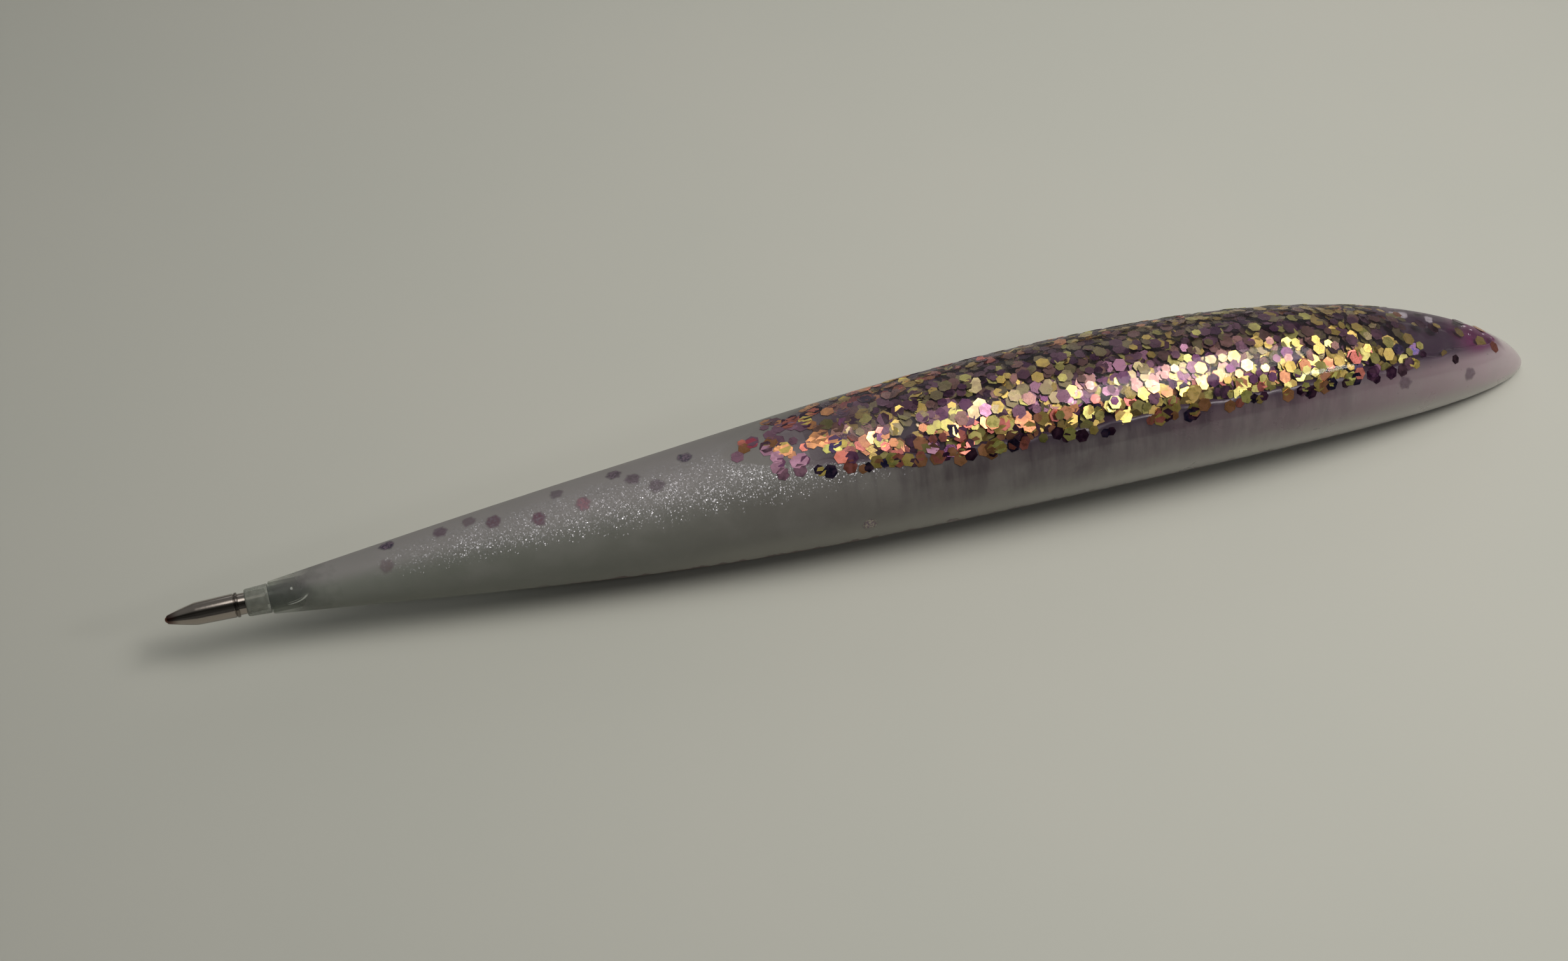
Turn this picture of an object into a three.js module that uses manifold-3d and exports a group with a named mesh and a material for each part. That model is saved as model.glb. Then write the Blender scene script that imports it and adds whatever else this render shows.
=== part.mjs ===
// A hand-cast resin pen: a slim gel refill in a tapered, two-colour epoxy barrel.
//
// Units are millimetres, +Z is up. The pen lies along X with its writing point
// at -X, resting on the flat that the open side of its mould left underneath.
// The origin is at the middle of the pen's length, on that flat.

import * as THREE from 'three';
import { mergeVertices } from 'three/addons/utils/BufferGeometryUtils.js';
import Module from 'manifold-3d';

const wasm = await Module();
wasm.setup();

// ---------------------------------------------------------------- sizes

// Whole pen
const OVERALL_LENGTH = 149;
const BARREL_DIAMETER = 16.6; // at the belly, its thickest place
const BELLY_PLACE = 0.62; // share of the barrel's length from nose to belly
const FLAT_DEPTH = 0.5; // how much the flat takes off the belly
const REFILL_HEIGHT = 6.2; // height of the refill's axis above the flat
const TAIL_TIP_HEIGHT = 0.6;

// Refill
const BALL_DIAMETER = 0.7;
const BALL_PLAY = 0.02; // gap round the ball
const BALL_SHOWING = 0.3; // share of the ball's width that stands out of the nib
const SOCKET_STRAIGHT = 0.35; // share of the ball's width, behind its middle, with a straight wall round it
const NIB_LENGTH = 7.3; // writing point to the rear lip of the metal nib
const NIB_CONE_LENGTH = 3;
const NIB_SHANK_DIAMETER = 2.16;
const NIB_LIP_STEP = 0.18; // the rear lip stands this far out from the shank
const NIB_FLARE = 0.14; // and this far out from the shoulder behind the cone
const NIB_BEAD = 0.05; // the lip's rounding
const NIB_WALL = 0.53; // of the shank, round its ink channel
const NIB_THROAT_DIAMETER = 0.4; // where the ink reaches the ball
const NIB_EDGE_WALL = 0.08; // of the rolled edge that holds the ball
const NIB_SEAT_WALL = 0.2; // behind the ball, where the cone sets in
const NIB_SEAT_LENGTH = 0.15;
const NECK_LENGTH = 0.7; // bare shank between the nib's lip and the tip holder
const HOLDER_WALL = 0.42; // of the flange, round the nib's shank
const HOLDER_FRONT_STEP = 0.1; // how much slimmer the flange is at its front
const HOLDER_CHAMFER = 0.2;
const HOLDER_FLANGE_LENGTH = 2.4;
const HOLDER_FLOOR = 0.4; // left in the flange behind the nib's shank
const HOLDER_PLUG_LENGTH = 4;
const HOLDER_PLUG_WALL = 0.57; // round the ink channel in the plug
const TUBE_WALL = 0.3;
const TUBE_LENGTH = 102;
const INK_LENGTH = 72;
const FOLLOWER_LENGTH = 6;
const FIT_GAP = 0.03; // round pieces pressed together, and between ink and tube

// Barrel
const REFILL_REACH = 10.5; // how far the refill stands out of the barrel's nose
const BORE_GAP = 0.05; // round the refill, so that it draws out
const BORE_SPARE_LENGTH = 1.5; // behind the refill
const NOSE_WALL = 0.1; // where the resin feathers out on the refill
const GLITTER_DEPTH = 3; // thickness of the glitter layer at the belly
const GLITTER_TAIL_GAP = 4.5; // bare tail behind the glitter layer
const SEAM_GAP = 0.3; // between the two castings

// Stray flakes
const FLAKE_WIDTH = 1.2; // corner to corner
const FLAKE_THICKNESS = 0.1;
const FLAKE_COVER = 0.12; // how deep a flake's face lies under the surface
const FLAKE_POCKET_GAP = 0.3;

// Fineness
const BARREL_SIDES = 48;
const BARREL_STEPS = 16; // rings from nose to belly, and again from belly to tail
const ROUND_SIDES = 32;
const BALL_SIDES = 20;
const BALL_RINGS = 14;
const SEAM_STEPS = 16;

// ---------------------------------------------------------------- worked out

const TAIL_X = OVERALL_LENGTH / 2;
const POINT_X = -OVERALL_LENGTH / 2;
const NOSE_X = POINT_X + REFILL_REACH;
const BARREL_LENGTH = TAIL_X - NOSE_X;
const BELLY_X = NOSE_X + BELLY_PLACE * BARREL_LENGTH;
const BELLY_RADIUS = BARREL_DIAMETER / 2;
const BELLY_HEIGHT = BELLY_RADIUS - FLAT_DEPTH;
const SHANK_RADIUS = NIB_SHANK_DIAMETER / 2;
const TUBE_RADIUS = SHANK_RADIUS + HOLDER_WALL; // the tube is flush with the holder's flange
const TUBE_BORE_RADIUS = TUBE_RADIUS - TUBE_WALL;
const BORE_RADIUS = TUBE_RADIUS + BORE_GAP;
const NOSE_RADIUS = BORE_RADIUS + NOSE_WALL;
const HOLDER_X = POINT_X + NIB_LENGTH + NECK_LENGTH;
const TUBE_X = HOLDER_X + HOLDER_FLANGE_LENGTH;
const SHANK_END_X = TUBE_X - HOLDER_FLOOR;
const TUBE_END_X = TUBE_X + TUBE_LENGTH;
const INK_X = TUBE_X + HOLDER_PLUG_LENGTH + FIT_GAP;
const FOLLOWER_X = INK_X + INK_LENGTH + FIT_GAP;
const SETTLED_HEIGHT = BELLY_HEIGHT + BELLY_RADIUS - GLITTER_DEPTH;
const SEAM_DEGREES = THREE.MathUtils.radToDeg(Math.asin(1 - GLITTER_DEPTH / BELLY_RADIUS));

// Powers that shape the tail: how full it stays, and how fast it droops.
const TAIL_FULLNESS = 2.4;
const TAIL_ROUNDING = 0.58;
const TAIL_DROOP = 0.9;
const SPINE_RISE_START = 0.25; // share of the barrel's length where its middle starts to rise

// The stray flakes in the nose: share of the way from there to the glitter
// layer, and degrees round, from 0 at the -Y side to 90 on top.
const NOSE_FLAKES = [
  { ahead: 0.26, around: 110, colour: 0x2a2440 },
  { ahead: 0.25, around: 63, colour: 0x8a6a70 },
  { ahead: 0.375, around: 101, colour: 0x57414f },
  { ahead: 0.44, around: 105, colour: 0x5b4453 },
  { ahead: 0.49, around: 91, colour: 0x62505a },
  { ahead: 0.585, around: 77, colour: 0x7b4a62 },
  { ahead: 0.635, around: 106, colour: 0x4c4350 },
  { ahead: 0.685, around: 81, colour: 0xa06a7c },
  { ahead: 0.765, around: 110, colour: 0x4a3d4c },
  { ahead: 0.8, around: 95, colour: 0x53454f },
  { ahead: 0.845, around: 79, colour: 0x5c4b58 },
  { ahead: 0.92, around: 103, colour: 0x2e2c48 },
];

// Those in the barrel's -Y side: share of the barrel's length from its nose,
// and degrees down from the glitter layer's edge.
const SIDE_FLAKES = [
  { along: 0.434, below: 41, colour: 0xb0aa94 },
  { along: 0.5, below: 66, colour: 0xa9a294 },
  { along: 0.868, below: 12, colour: 0x5a4660 },
  { along: 0.932, below: 14, colour: 0x64506a },
];

// ---------------------------------------------------------------- the barrel's form

/** Share of the way from nose to tail at x, kept between 0 and 1. */
function along(x) {
  return THREE.MathUtils.clamp((x - NOSE_X) / BARREL_LENGTH, 0, 1);
}

/** What is left of the tail at x: 1 from the nose to the belly, 0 at the tip. */
function tailShare(x) {
  const past = Math.max(0, (along(x) - BELLY_PLACE) / (1 - BELLY_PLACE));
  return 1 - Math.min(1, past) ** TAIL_FULLNESS;
}

/** Radius of the barrel: a quarter wave up to the belly, then a full, blunt tail. */
function barrelRadius(x) {
  const swell = Math.sin((Math.PI / 2) * Math.min(1, along(x) / BELLY_PLACE));
  const front = NOSE_RADIUS + (BELLY_RADIUS - NOSE_RADIUS) * swell;
  return front * tailShare(x) ** TAIL_ROUNDING;
}

/** Height of the barrel's middle: level with the refill, up to the belly, down to the tail tip. */
function spineHeight(x) {
  const rise = THREE.MathUtils.smoothstep(along(x), SPINE_RISE_START, BELLY_PLACE);
  const top = THREE.MathUtils.lerp(REFILL_HEIGHT, BELLY_HEIGHT, rise);
  return TAIL_TIP_HEIGHT + (top - TAIL_TIP_HEIGHT) * tailShare(x) ** TAIL_DROOP;
}

/** Underside of the glitter layer behind the belly, where it thins with the tail. */
function seamHeight(x) {
  const radius = barrelRadius(x);
  return spineHeight(x) + radius - (GLITTER_DEPTH * radius) / BELLY_RADIUS;
}

/** The point on the barrel's surface at x, so many degrees round from the -Y side. */
function surfacePoint(x, degrees) {
  const turn = THREE.MathUtils.degToRad(degrees);
  const radius = barrelRadius(x);
  return new THREE.Vector3(x, -radius * Math.cos(turn), spineHeight(x) + radius * Math.sin(turn));
}

/** Where the glitter layer starts: the barrel's top comes up through the seam's level there. */
function glitterFrontX() {
  let low = NOSE_X;
  let high = BELLY_X;
  for (let halving = 0; halving < 30; halving += 1) {
    const x = (low + high) / 2;
    if (spineHeight(x) + barrelRadius(x) < SETTLED_HEIGHT) {
      low = x;
    } else {
      high = x;
    }
  }
  return high;
}

/** A flake's place under the surface, with its own Y along the surface's normal. */
function flakePlace(x, around) {
  const half = FLAKE_WIDTH / 2;
  const lengthwise = surfacePoint(x + half, around).sub(surfacePoint(x - half, around)).normalize();
  const crosswise = surfacePoint(x, around + 1).sub(surfacePoint(x, around - 1)).normalize();
  const outward = lengthwise.clone().cross(crosswise).normalize();
  const side = lengthwise.clone().cross(outward);
  const middle = surfacePoint(x, around).addScaledVector(outward, -FLAKE_COVER - FLAKE_THICKNESS / 2);
  return new THREE.Matrix4().makeBasis(lengthwise, outward, side).setPosition(middle);
}

/** Every stray flake's place and colour, the nose's first. */
function strayPlaces() {
  const reach = glitterFrontX() - NOSE_X;
  const nose = NOSE_FLAKES.map(({ ahead, around, colour }) => (
    { place: flakePlace(NOSE_X + ahead * reach, around), colour }
  ));
  const sides = SIDE_FLAKES.map(({ along: share, below, colour }) => (
    { place: flakePlace(NOSE_X + share * BARREL_LENGTH, SEAM_DEGREES - below), colour }
  ));
  return [...nose, ...sides];
}

// ---------------------------------------------------------------- solids

/** A closed geometry as a solid that can be cut and joined. */
function solid(geometry) {
  const bare = geometry.clone();
  bare.deleteAttribute('normal');
  bare.deleteAttribute('uv');
  const merged = mergeVertices(bare);
  return new wasm.Manifold(new wasm.Mesh({
    numProp: 3,
    vertProperties: merged.attributes.position.array,
    triVerts: new Uint32Array(merged.index.array),
  }));
}

/** A solid back as a geometry with flat facets. */
function faceted(manifold) {
  const mesh = manifold.getMesh();
  const geometry = new THREE.BufferGeometry();
  geometry.setAttribute('position', new THREE.BufferAttribute(mesh.vertProperties, 3));
  geometry.setIndex(new THREE.BufferAttribute(mesh.triVerts, 1));
  const flat = geometry.toNonIndexed();
  flat.computeVertexNormals();
  return flat;
}

/** Turns an outline of [x, radius] points round the X axis. */
function turned(outline, sides = ROUND_SIDES) {
  const points = outline.map(([x, radius]) => new THREE.Vector2(radius, x));
  return new THREE.LatheGeometry(points, sides).rotateZ(-Math.PI / 2);
}

/** A plain round bar along X. */
function bar(startX, endX, radius) {
  return turned([[startX, 0], [startX, radius], [endX, radius], [endX, 0]]);
}

/** Moves a refill piece's geometry up to the refill's axis. */
function atRefillHeight(geometry) {
  return geometry.translate(0, 0, REFILL_HEIGHT);
}

function mesh(name, geometry, colour, roughness, metalness = 0, opacity = 1) {
  const material = new THREE.MeshStandardMaterial({ color: colour, roughness, metalness });
  material.transparent = opacity < 1;
  material.opacity = opacity;
  const made = new THREE.Mesh(geometry, material);
  made.name = name;
  return made;
}

// ---------------------------------------------------------------- barrel

/** The whole barrel before it is split into its castings: turned, bent down its spine, flat below. */
function barrelBlank() {
  const outline = [[NOSE_X, 0]];
  for (let i = 0; i <= BARREL_STEPS; i += 1) {
    const x = NOSE_X + ((BELLY_X - NOSE_X) * i) / BARREL_STEPS;
    outline.push([x, barrelRadius(x)]);
  }
  for (let i = 1; i < BARREL_STEPS; i += 1) {
    const x = BELLY_X + (TAIL_X - BELLY_X) * Math.sin((Math.PI / 2) * (i / BARREL_STEPS));
    outline.push([x, barrelRadius(x)]);
  }
  outline.push([TAIL_X, 0]);
  const round = turned(outline, BARREL_SIDES);
  const places = round.attributes.position;
  for (let i = 0; i < places.count; i += 1) {
    places.setZ(i, places.getZ(i) + spineHeight(places.getX(i)));
  }
  const below = new THREE.BoxGeometry(2 * OVERALL_LENGTH, 2 * BARREL_DIAMETER, BARREL_DIAMETER);
  below.translate(0, 0, -BARREL_DIAMETER / 2);
  return solid(round).subtract(solid(below));
}

/**
 * Everything above the seam between the castings: level from the nose to the belly, where the
 * flakes settled, then down with the tail. It drops by a gap where it makes room for the glitter.
 */
function aboveSeam(drop) {
  const endX = TAIL_X - GLITTER_TAIL_GAP + drop;
  const ceiling = 2 * BARREL_DIAMETER;
  const outline = new THREE.Shape();
  outline.moveTo(NOSE_X, ceiling);
  outline.lineTo(NOSE_X, SETTLED_HEIGHT - drop);
  for (let i = 0; i <= SEAM_STEPS; i += 1) {
    const x = BELLY_X + ((endX - BELLY_X) * i) / SEAM_STEPS;
    outline.lineTo(x, seamHeight(x) - drop);
  }
  outline.lineTo(endX, ceiling);
  const block = new THREE.ExtrudeGeometry(outline, { depth: 2 * BARREL_DIAMETER, bevelEnabled: false });
  return solid(block.rotateX(Math.PI / 2).translate(0, BARREL_DIAMETER, 0));
}

/** The bore that the refill slides into. */
function refillBore() {
  const open = bar(NOSE_X - REFILL_REACH, TUBE_END_X + BORE_SPARE_LENGTH, BORE_RADIUS);
  return solid(atRefillHeight(open));
}

function flakeGeometry(gap = 0) {
  return new THREE.CylinderGeometry(
    FLAKE_WIDTH / 2 + gap,
    FLAKE_WIDTH / 2 + gap,
    FLAKE_THICKNESS + 2 * gap,
    6,
  );
}

/** An open pocket round a stray flake, from below it out through the surface. */
function flakePocket(place) {
  const deep = flakeGeometry(FLAKE_POCKET_GAP);
  const out = flakeGeometry(FLAKE_POCKET_GAP).translate(0, FLAKE_POCKET_GAP, 0);
  return solid(deep.applyMatrix4(place)).add(solid(out.applyMatrix4(place)));
}

function pearlCasting(blank, strays) {
  let casting = blank.subtract(aboveSeam(SEAM_GAP)).subtract(refillBore());
  for (const { place } of strays) {
    casting = casting.subtract(flakePocket(place));
  }
  return mesh('pearl_casting', faceted(casting), 0x8f9188, 0.38);
}

function glitterCasting(blank) {
  return mesh('glitter_casting', faceted(blank.intersect(aboveSeam(0))), 0x5a2a55, 0.15, 0, 0.9);
}

/** The glitter that drifted out of its layer, each flake a hexagon of metallised film. */
function strayFlakes(strays) {
  return strays.map(({ place, colour }, i) => {
    const number = String(i + 1).padStart(2, '0');
    const made = mesh(`stray_flake_${number}`, flakeGeometry(), colour, 0.3, 0.6);
    made.applyMatrix4(place);
    return made;
  });
}

// ---------------------------------------------------------------- refill

/** The metal nib, hollow from its shank to the socket that its rolled edge closes round the ball. */
function nibHousing() {
  const ball = BALL_DIAMETER / 2;
  const ballX = POINT_X + ball;
  const edgeX = POINT_X + BALL_SHOWING * BALL_DIAMETER;
  const shoulderX = POINT_X + NIB_CONE_LENGTH;
  const lipX = POINT_X + NIB_LENGTH;
  const seatX = ballX + ball;
  const throatX = seatX + NIB_SEAT_LENGTH;
  const channelX = (throatX + shoulderX) / 2;
  const socket = ball + BALL_PLAY;
  const mouth = Math.sqrt(ball ** 2 - (ballX - edgeX) ** 2) + BALL_PLAY;
  const throat = NIB_THROAT_DIAMETER / 2;
  const channel = SHANK_RADIUS - NIB_WALL;
  const lip = SHANK_RADIUS + NIB_LIP_STEP;
  const outline = [
    [edgeX, mouth],
    [edgeX, mouth + NIB_EDGE_WALL],
    [ballX, socket + NIB_EDGE_WALL],
    [ballX + ball, socket + NIB_SEAT_WALL],
    [shoulderX, lip - NIB_FLARE],
    [lipX - 2 * NIB_BEAD, lip],
    [lipX, lip - NIB_BEAD],
    [lipX, SHANK_RADIUS],
    [SHANK_END_X, SHANK_RADIUS],
    [SHANK_END_X, channel],
    [channelX, channel],
    [throatX, throat],
    [seatX, throat],
    [ballX + SOCKET_STRAIGHT * BALL_DIAMETER, socket],
    [ballX, socket],
    [edgeX, mouth],
  ];
  return mesh('nib_housing', atRefillHeight(turned(outline)), 0xa8a49a, 0.22, 1);
}

function writingBall() {
  const ball = new THREE.SphereGeometry(BALL_DIAMETER / 2, BALL_SIDES, BALL_RINGS).rotateZ(Math.PI / 2);
  const made = mesh('writing_ball', ball, 0x5b2a22, 0.12, 1);
  made.position.set(POINT_X + BALL_DIAMETER / 2, 0, REFILL_HEIGHT);
  return made;
}

/** The clear collar that holds the nib and plugs the front of the ink tube. */
function tipHolder() {
  const front = TUBE_RADIUS - HOLDER_FRONT_STEP;
  const flangeEndX = TUBE_X - FIT_GAP;
  const plugEndX = TUBE_X + HOLDER_PLUG_LENGTH;
  const socketEndX = SHANK_END_X + FIT_GAP;
  const plug = TUBE_BORE_RADIUS - FIT_GAP;
  const socket = SHANK_RADIUS + FIT_GAP;
  const channel = plug - HOLDER_PLUG_WALL;
  const outline = [
    [HOLDER_X, socket],
    [HOLDER_X, front - HOLDER_CHAMFER],
    [HOLDER_X + HOLDER_CHAMFER, front],
    [flangeEndX, TUBE_RADIUS],
    [flangeEndX, plug],
    [plugEndX, plug],
    [plugEndX, channel],
    [socketEndX, channel],
    [socketEndX, socket],
    [HOLDER_X, socket],
  ];
  return mesh('tip_holder', atRefillHeight(turned(outline)), 0xc9ccc4, 0.12, 0, 0.45);
}

function inkTube() {
  const outline = [
    [TUBE_X, TUBE_BORE_RADIUS],
    [TUBE_X, TUBE_RADIUS],
    [TUBE_END_X, TUBE_RADIUS],
    [TUBE_END_X, TUBE_BORE_RADIUS],
    [TUBE_X, TUBE_BORE_RADIUS],
  ];
  return mesh('ink_tube', atRefillHeight(turned(outline)), 0xd5d8d2, 0.2, 0, 0.4);
}

function gelInk() {
  const column = bar(INK_X, INK_X + INK_LENGTH, TUBE_BORE_RADIUS - FIT_GAP);
  return mesh('gel_ink', atRefillHeight(column), 0x15161c, 0.25);
}

/** The clear grease that follows the ink down the tube and keeps it from running out behind. */
function followerGrease() {
  const slug = bar(FOLLOWER_X, FOLLOWER_X + FOLLOWER_LENGTH, TUBE_BORE_RADIUS - FIT_GAP);
  return mesh('follower_grease', atRefillHeight(slug), 0xd8cfae, 0.2, 0, 0.6);
}

// ---------------------------------------------------------------- the pen

const pen = new THREE.Group();
const blank = barrelBlank();
const strays = strayPlaces();
pen.add(pearlCasting(blank, strays), glitterCasting(blank), ...strayFlakes(strays));
pen.add(inkTube(), tipHolder(), nibHousing(), writingBall(), gelInk(), followerGrease());

export default pen;
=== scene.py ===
"""The look of a hand-cast resin pen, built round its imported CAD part.

Units are metres, in the part's own frame: the pen lies along X with its
writing point at -X, and +Z is up. "Along" is the distance from the writing
point in millimetres. "Around" is the angle in degrees round the barrel's
middle, from 0 at the -Y side to 90 on top and 180 at the +Y side.
"""

import math

import bpy
import numpy as np
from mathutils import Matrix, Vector


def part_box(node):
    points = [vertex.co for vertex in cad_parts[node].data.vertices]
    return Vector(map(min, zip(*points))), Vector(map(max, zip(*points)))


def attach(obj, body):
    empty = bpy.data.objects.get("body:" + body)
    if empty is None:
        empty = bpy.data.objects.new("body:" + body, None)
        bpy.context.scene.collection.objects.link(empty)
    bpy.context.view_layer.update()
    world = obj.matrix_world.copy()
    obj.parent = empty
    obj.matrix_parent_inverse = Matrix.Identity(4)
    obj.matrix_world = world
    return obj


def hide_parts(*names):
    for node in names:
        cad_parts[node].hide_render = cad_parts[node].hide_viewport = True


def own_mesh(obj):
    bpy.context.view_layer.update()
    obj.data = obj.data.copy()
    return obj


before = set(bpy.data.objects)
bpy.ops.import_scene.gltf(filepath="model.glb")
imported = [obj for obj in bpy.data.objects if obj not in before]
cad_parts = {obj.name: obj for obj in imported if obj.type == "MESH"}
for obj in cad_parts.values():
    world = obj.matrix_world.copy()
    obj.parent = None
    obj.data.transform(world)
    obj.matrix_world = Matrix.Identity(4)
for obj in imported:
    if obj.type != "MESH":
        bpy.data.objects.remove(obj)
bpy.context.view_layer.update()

MM = 0.001
RANDOM = np.random.default_rng(7)

# ---------------------------------------------------------------- sizes

PEARL_LOW, PEARL_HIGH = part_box("pearl_casting")
GLITTER_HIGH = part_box("glitter_casting")[1]
TUBE_LOW, TUBE_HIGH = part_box("ink_tube")
HOLDER_LOW, HOLDER_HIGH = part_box("tip_holder")
NIB_LOW, NIB_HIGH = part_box("nib_housing")
BALL_LOW, BALL_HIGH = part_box("writing_ball")
INK_LOW, INK_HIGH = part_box("gel_ink")
GREASE_LOW, GREASE_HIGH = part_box("follower_grease")

# Whole pen
POINT_X = BALL_LOW.x
NOSE_X = PEARL_LOW.x
TAIL_X = PEARL_HIGH.x
BARREL_LENGTH = TAIL_X - NOSE_X
BELLY_PLACE = 0.62  # share of the barrel's length from nose to belly
BELLY_RADIUS = PEARL_HIGH.y
BELLY_HEIGHT = GLITTER_HIGH.z - BELLY_RADIUS
REFILL_HEIGHT = (TUBE_LOW.z + TUBE_HIGH.z) / 2
TAIL_TIP_HEIGHT = 0.6 * MM
TAIL_FULLNESS = 2.4
TAIL_ROUNDING = 0.58
TAIL_DROOP = 0.9
SPINE_RISE_START = 0.25
LEAST_RADIUS = 0.1 * MM  # keeps the angles finite at the tail's tip

# Refill
TUBE_RADIUS = TUBE_HIGH.y
TUBE_WALL = 0.3 * MM
BORE_RADIUS = TUBE_RADIUS + 0.05 * MM
BORE_END_X = TUBE_HIGH.x + 1.5 * MM
NOSE_RADIUS = BORE_RADIUS + 0.1 * MM
SHANK_RADIUS = 1.08 * MM
NIB_CONE_LENGTH = 3 * MM
NIB_LIP_X = POINT_X + 7.3 * MM
NIB_SHOULDER_RADIUS = 1.12 * MM
INK_CHANNEL_RADIUS = 0.2 * MM
BALL_RADIUS = (BALL_HIGH.x - BALL_LOW.x) / 2
SEAT_PLAY = 0.03 * MM  # between the collar and what it holds

# Glitter layer
GLITTER_DEPTH = 3 * MM
BED_THICKNESS = 0.3 * MM
GROOVE_DEPTH = 1.1  # millimetres that the pearl casting is hollowed out for the glitter
SKIN_COVER = 0.004 * MM
SKIN_THICKNESS = 0.06 * MM
SKIN_DIVE = 0.2 * MM
SKIN_MARGIN = 0.6  # millimetres that the skin reaches past the layer's edge
SETTLED_HEIGHT = BELLY_HEIGHT + BELLY_RADIUS - GLITTER_DEPTH
GLITTER_FRONT_ALONG = 56.5
GROOVE_FRONT_ALONG = 61.5  # ahead of this the flakes lie in the pearl's own surface
GROOVE_FULL_ALONG = 90
LIP_INNER, LIP_OUTER = -0.9, 0.1  # millimetres from the edge where the hollow's side starts and ends
GLITTER_NARROWING_ALONG = 118
GLITTER_END_ALONG = 144.5
GLITTER_END_FULLNESS = 2.2

# ---------------------------------------------------------------- the barrel's form


def smoothstep(value, low, high):
    t = np.clip((value - low) / (high - low), 0, 1)
    return t * t * (3 - 2 * t)


def share_along(x):
    return np.clip((x - NOSE_X) / BARREL_LENGTH, 0, 1)


def tail_share(x):
    past = np.clip((share_along(x) - BELLY_PLACE) / (1 - BELLY_PLACE), 0, 1)
    return 1 - past**TAIL_FULLNESS


def barrel_radius(x):
    swell = np.sin(math.pi / 2 * np.minimum(1, share_along(x) / BELLY_PLACE))
    front = NOSE_RADIUS + (BELLY_RADIUS - NOSE_RADIUS) * swell
    return front * tail_share(x) ** TAIL_ROUNDING


def spine_height(x):
    rise = smoothstep(share_along(x), SPINE_RISE_START, BELLY_PLACE)
    top = REFILL_HEIGHT + (BELLY_HEIGHT - REFILL_HEIGHT) * rise
    return TAIL_TIP_HEIGHT + (top - TAIL_TIP_HEIGHT) * tail_share(x) ** TAIL_DROOP


def along_to_x(along):
    return POINT_X + along * MM


def x_to_along(x):
    return (x - POINT_X) / MM


def half_width(along):
    """Degrees from the top of the barrel down to the glitter layer's edge."""
    x = along_to_x(np.asarray(along, float))
    radius = np.maximum(barrel_radius(x), LEAST_RADIUS)
    level = np.where(
        share_along(x) < BELLY_PLACE,
        (SETTLED_HEIGHT - spine_height(x)) / radius,
        1 - GLITTER_DEPTH / BELLY_RADIUS,
    )
    width = 90 - np.degrees(np.arcsin(np.clip(level, -1, 1)))
    narrowing = GLITTER_END_ALONG - GLITTER_NARROWING_ALONG
    into_tail = np.clip((along - GLITTER_NARROWING_ALONG) / narrowing, 0, 1)
    return width * np.sqrt(1 - into_tail**GLITTER_END_FULLNESS)


def edge_distance(along, around):
    """Millimetres over the surface from the glitter layer's edge: more than 0 outside it."""
    from_top = np.abs(around - 90)
    from_top = np.where(from_top > 180, 360 - from_top, from_top)
    arc = np.radians(from_top - half_width(along)) * barrel_radius(along_to_x(along)) / MM
    ahead = GLITTER_FRONT_ALONG - along
    behind = along - GLITTER_END_ALONG
    return np.maximum(arc, np.maximum(ahead, behind))


def groove_depth(along):
    """Millimetres that the pearl casting is hollowed out for the glitter, from nothing at the front."""
    return GROOVE_DEPTH * smoothstep(along, GROOVE_FRONT_ALONG, GROOVE_FULL_ALONG)


def hollow_depth(along, around):
    """Millimetres that the pearl lies under the barrel's surface, at one place in it."""
    inside = 1 - smoothstep(edge_distance(along, around) + ragged(along, around), LIP_INNER, LIP_OUTER)
    return groove_depth(along) * inside


def ragged(along, around):
    """Millimetres that the glitter's edge wanders, as a sum of waves with unrelated periods."""
    a = np.asarray(along, float)
    b = np.radians(around)
    return 0.12 * (np.sin(0.9 * a + 2.3 * b) + np.sin(1.7 * a - 1.1 * b + 1.3))


def surface(x, around, sunk=0.0):
    """Points of the barrel's surface, or so far under it."""
    turn = np.radians(around)
    radius = barrel_radius(x) - sunk
    y = -radius * np.cos(turn)
    z = spine_height(x) + radius * np.sin(turn)
    return np.stack([x + 0 * turn, y, z], -1)


def outward(x, around):
    """Unit normals of the barrel's surface."""
    step = 0.05 * MM
    lengthwise = surface(x + step, around) - surface(x - step, around)
    crosswise = surface(x, around + 0.5) - surface(x, around - 0.5)
    normal = np.cross(lengthwise, crosswise)
    return normal / np.linalg.norm(normal, axis=-1, keepdims=True)


# ---------------------------------------------------------------- meshes


def new_piece(name, vertices, faces, body, slot, replaced=(), sharp_degrees=None, **attributes):
    """A mesh object that rides on a CAD body, with float or colour attributes on its vertices."""
    mesh = bpy.data.meshes.new(name)
    mesh.from_pydata(np.asarray(vertices).tolist(), [], faces)
    mesh.validate()
    for key, values in attributes.items():
        values = np.asarray(values, np.float32)
        if values.ndim == 1:
            mesh.attributes.new(key, "FLOAT", "POINT").data.foreach_set("value", values)
        else:
            mesh.attributes.new(key, "FLOAT_COLOR", "POINT").data.foreach_set("color", values.ravel())
    mesh.shade_smooth()
    if sharp_degrees:
        mesh.set_sharp_from_angle(angle=math.radians(sharp_degrees))
    piece = bpy.data.objects.new(name, mesh)
    bpy.context.scene.collection.objects.link(piece)
    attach(piece, body)
    if replaced:
        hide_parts(*replaced)
    return piece


def ring_faces(rings, sides, first=0):
    """Quads between neighbouring closed rings of vertices."""
    faces = []
    for i in range(rings - 1):
        a = first + i * sides
        b = a + sides
        for j in range(sides):
            k = (j + 1) % sides
            faces.append((a + j, a + k, b + k, b + j))
    return faces


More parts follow.
